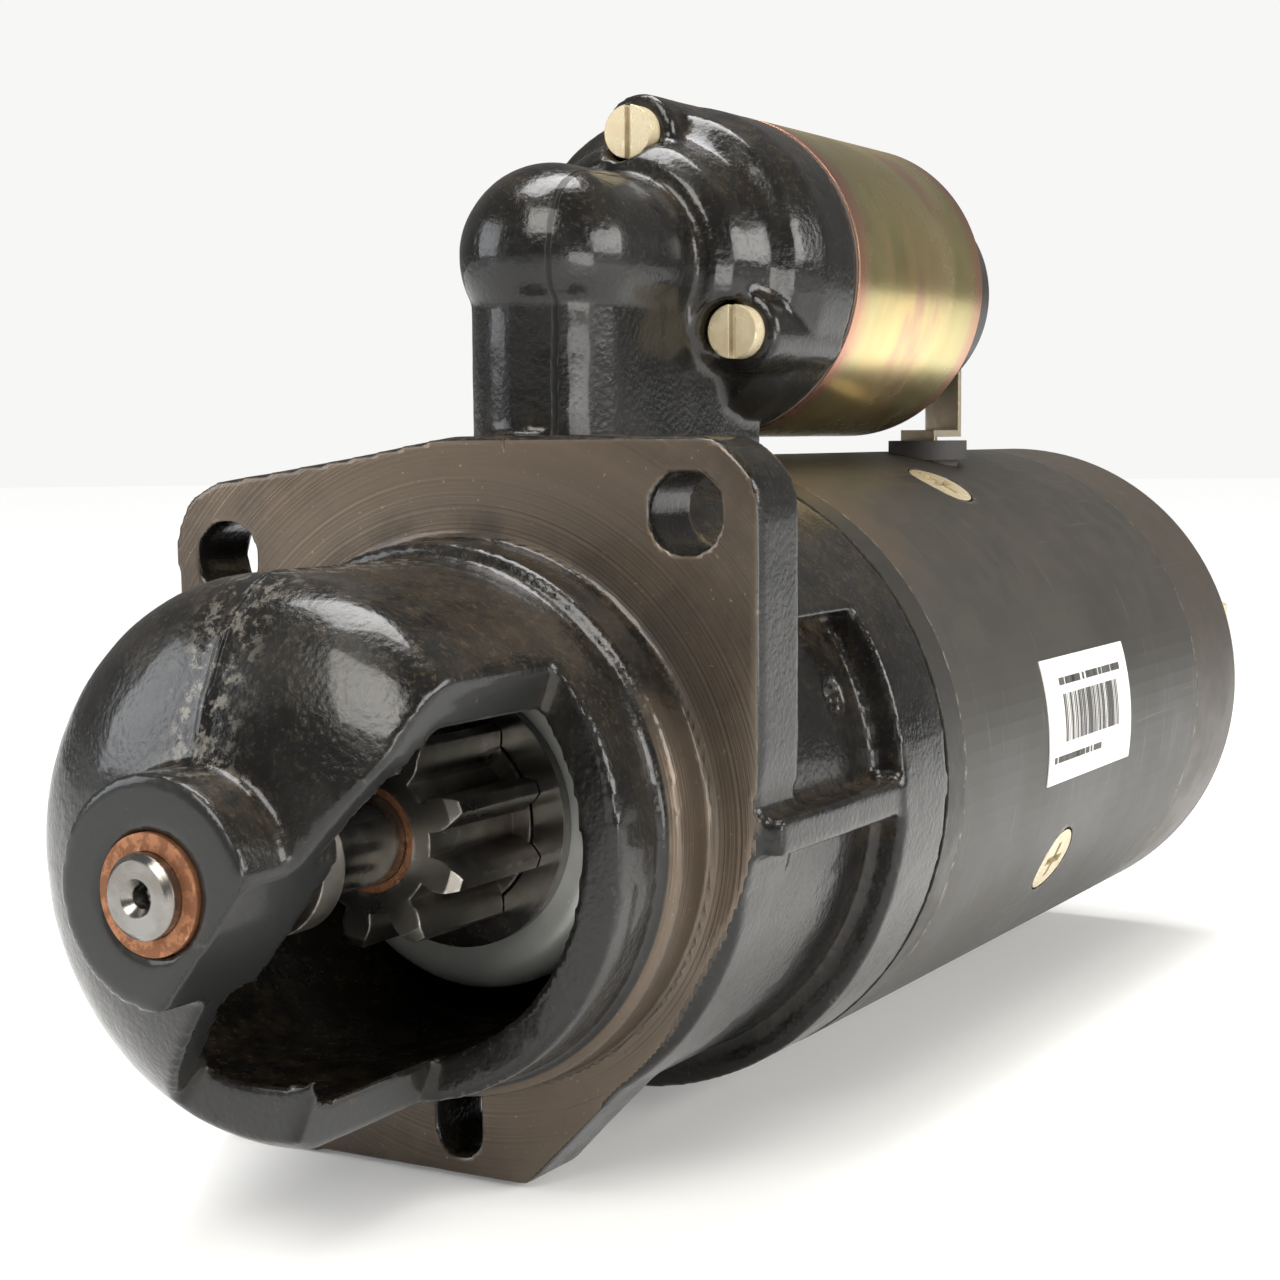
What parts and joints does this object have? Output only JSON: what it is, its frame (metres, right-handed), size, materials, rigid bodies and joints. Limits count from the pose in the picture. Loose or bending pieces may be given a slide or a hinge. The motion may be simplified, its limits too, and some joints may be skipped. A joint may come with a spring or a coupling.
{
  "type": "starter motor",
  "caption": "Pre-engaged starter motor with a round nose, flange mounting, side solenoid, shift lever, overrunning clutch and toothed pinion.",
  "frame": {"origin": "on the shaft axis at the flange's front mounting face", "axes": "+X along the shaft from the nose to the brush end, +Z towards the solenoid, -Y the side with the pinion window"},
  "size_m": [0.3469, 0.1177, 0.1835],
  "materials": {
    "cast_black": "gloss black paint over rough casting, machined faces bare",
    "bronze": "porous sintered bronze",
    "bright_steel": "ground and polished",
    "dark_steel": "hardened, oil dark",
    "frame_grey": "satin dark grey",
    "plate_grey": "bare grey casting",
    "cover_grey": "satin brown grey",
    "pale_zinc": "pale zinc plate",
    "yellow_zinc": "iridescent yellow zinc plate",
    "cap_black": "moulded phenolic",
    "rubber_black": "soft rubber",
    "copper": "bare copper",
    "enamelled_copper": "varnished winding",
    "tape": "cotton tape, varnished",
    "core_steel": "electrical steel",
    "carbon": "copper graphite",
    "spring_steel": "oiled spring steel",
    "clutch_grey": "phosphated grey",
    "tinned": "tinned copper, dull",
    "label_white": "printed paper label",
    "forged_iron": "forged and blackened",
    "gasket_paper": "gasket paper"
  },
  "bodies": {
    "housing": {"drive_end_housing": "cast_black", "front_bush": "bronze", "solenoid_screws": "pale_zinc", "centre_bearing_plate": "plate_grey", "centre_bush": "bronze", "field_frame": "frame_grey", "pole_shoes": "core_steel", "field_coils": "tape", "pole_screws": "pale_zinc", "brush_plate": "pale_zinc", "brush_holders": "bronze", "brush_end_cover": "cover_grey", "rear_bush": "bronze", "rear_cap": "pale_zinc", "rear_cap_screws": "pale_zinc", "through_bolts": "pale_zinc", "label": "label_white", "solenoid_gasket": "gasket_paper", "solenoid_case": "yellow_zinc", "solenoid_winding": "enamelled_copper", "solenoid_core": "core_steel", "solenoid_cap": "cap_black", "battery_terminal": "copper", "motor_terminal": "copper", "trigger_terminal": "pale_zinc", "terminal_nuts": "pale_zinc", "field_lead_strap": "tinned", "strap_grommet": "rubber_black", "plunger_return_spring": "spring_steel", "contact_return_spring": "spring_steel", "lever_pivot_bolt": "pale_zinc", "brush_spring_1": "spring_steel", "brush_spring_2": "spring_steel", "brush_spring_3": "spring_steel", "brush_spring_4": "spring_steel"},
    "armature": {"armature_shaft": "bright_steel", "armature_core": "core_steel", "armature_windings": "enamelled_copper", "commutator": "copper", "stop_ring": "dark_steel", "retaining_rings": "spring_steel", "thrust_washers": "bright_steel"},
    "drive_collar": {"guide_collar": "dark_steel"},
    "clutch": {"clutch_driver": "clutch_grey", "clutch_cover": "bright_steel", "clutch_rollers": "bright_steel", "meshing_spring": "spring_steel", "collar_snap_ring": "spring_steel"},
    "pinion_gear": {"pinion": "dark_steel", "pinion_bush": "bronze"},
    "lever": {"shift_lever": "forged_iron"},
    "solenoid_plunger": {"plunger": "bright_steel", "plunger_link": "forged_iron"},
    "moving_contact": {"contact_rod": "cap_black", "contact_bridge": "copper"},
    "brush_body_1": {"brush_1": "carbon"},
    "brush_body_2": {"brush_2": "carbon"},
    "brush_body_3": {"brush_3": "carbon"},
    "brush_body_4": {"brush_4": "carbon"}
  },
  "joints": [
    {"name": "armature_spin", "type": "hinge", "parent": "housing", "child": "armature", "pos_m": [0, 0, 0], "axis": [1, 0, 0], "continuous": true},
    {"name": "drive_advance", "type": "slide", "parent": "armature", "child": "drive_collar", "axis": [-1, 0, 0], "range_m": [0, 0.018], "stiffness_N_per_m": 900, "springref_m": -0.02},
    {"name": "drive_twist", "type": "hinge", "parent": "drive_collar", "child": "clutch", "pos_m": [0, 0, 0], "axis": [1, 0, 0], "range_deg": [0, 43.25]},
    {"name": "pinion_overrun", "type": "hinge", "parent": "clutch", "child": "pinion_gear", "pos_m": [0, 0, 0], "axis": [1, 0, 0], "continuous": true},
    {"name": "lever_pivot", "type": "hinge", "parent": "housing", "child": "lever", "pos_m": [0.039, 0, 0.047], "axis": [0, 1, 0], "range_deg": [0, 22.13]},
    {"name": "plunger_slide", "type": "slide", "parent": "housing", "child": "solenoid_plunger", "axis": [1, 0, 0], "range_m": [0, 0.0169], "deforming": ["plunger_return_spring"]},
    {"name": "contact_slide", "type": "slide", "parent": "housing", "child": "moving_contact", "axis": [1, 0, 0], "range_m": [0, 0.0027], "stiffness_N_per_m": 800, "springref_m": -0.004, "deforming": ["contact_return_spring"]},
    {"name": "brush_slide_1", "type": "slide", "parent": "housing", "child": "brush_body_1", "axis": [0, 0.891, 0.454], "range_m": [0, 0.004], "stiffness_N_per_m": 400, "springref_m": -0.02, "deforming": ["brush_spring_1"]},
    {"name": "brush_slide_2", "type": "slide", "parent": "housing", "child": "brush_body_2", "axis": [0, -0.454, 0.891], "range_m": [0, 0.004], "stiffness_N_per_m": 400, "springref_m": -0.02, "deforming": ["brush_spring_2"]},
    {"name": "brush_slide_3", "type": "slide", "parent": "housing", "child": "brush_body_3", "axis": [0, -0.891, -0.454], "range_m": [0, 0.004], "stiffness_N_per_m": 400, "springref_m": -0.02, "deforming": ["brush_spring_3"]},
    {"name": "brush_slide_4", "type": "slide", "parent": "housing", "child": "brush_body_4", "axis": [0, 0.454, -0.891], "range_m": [0, 0.004], "stiffness_N_per_m": 400, "springref_m": -0.02, "deforming": ["brush_spring_4"]}
  ],
  "couplings": [
    {"joint": "drive_twist", "follows": "drive_advance", "rad_per_m": 41.888},
    {"joint": "lever_pivot", "follows": "drive_advance", "rad_per_m": 21.409},
    {"joint": "plunger_slide", "follows": "drive_advance", "ratio": 0.93617}
  ]
}
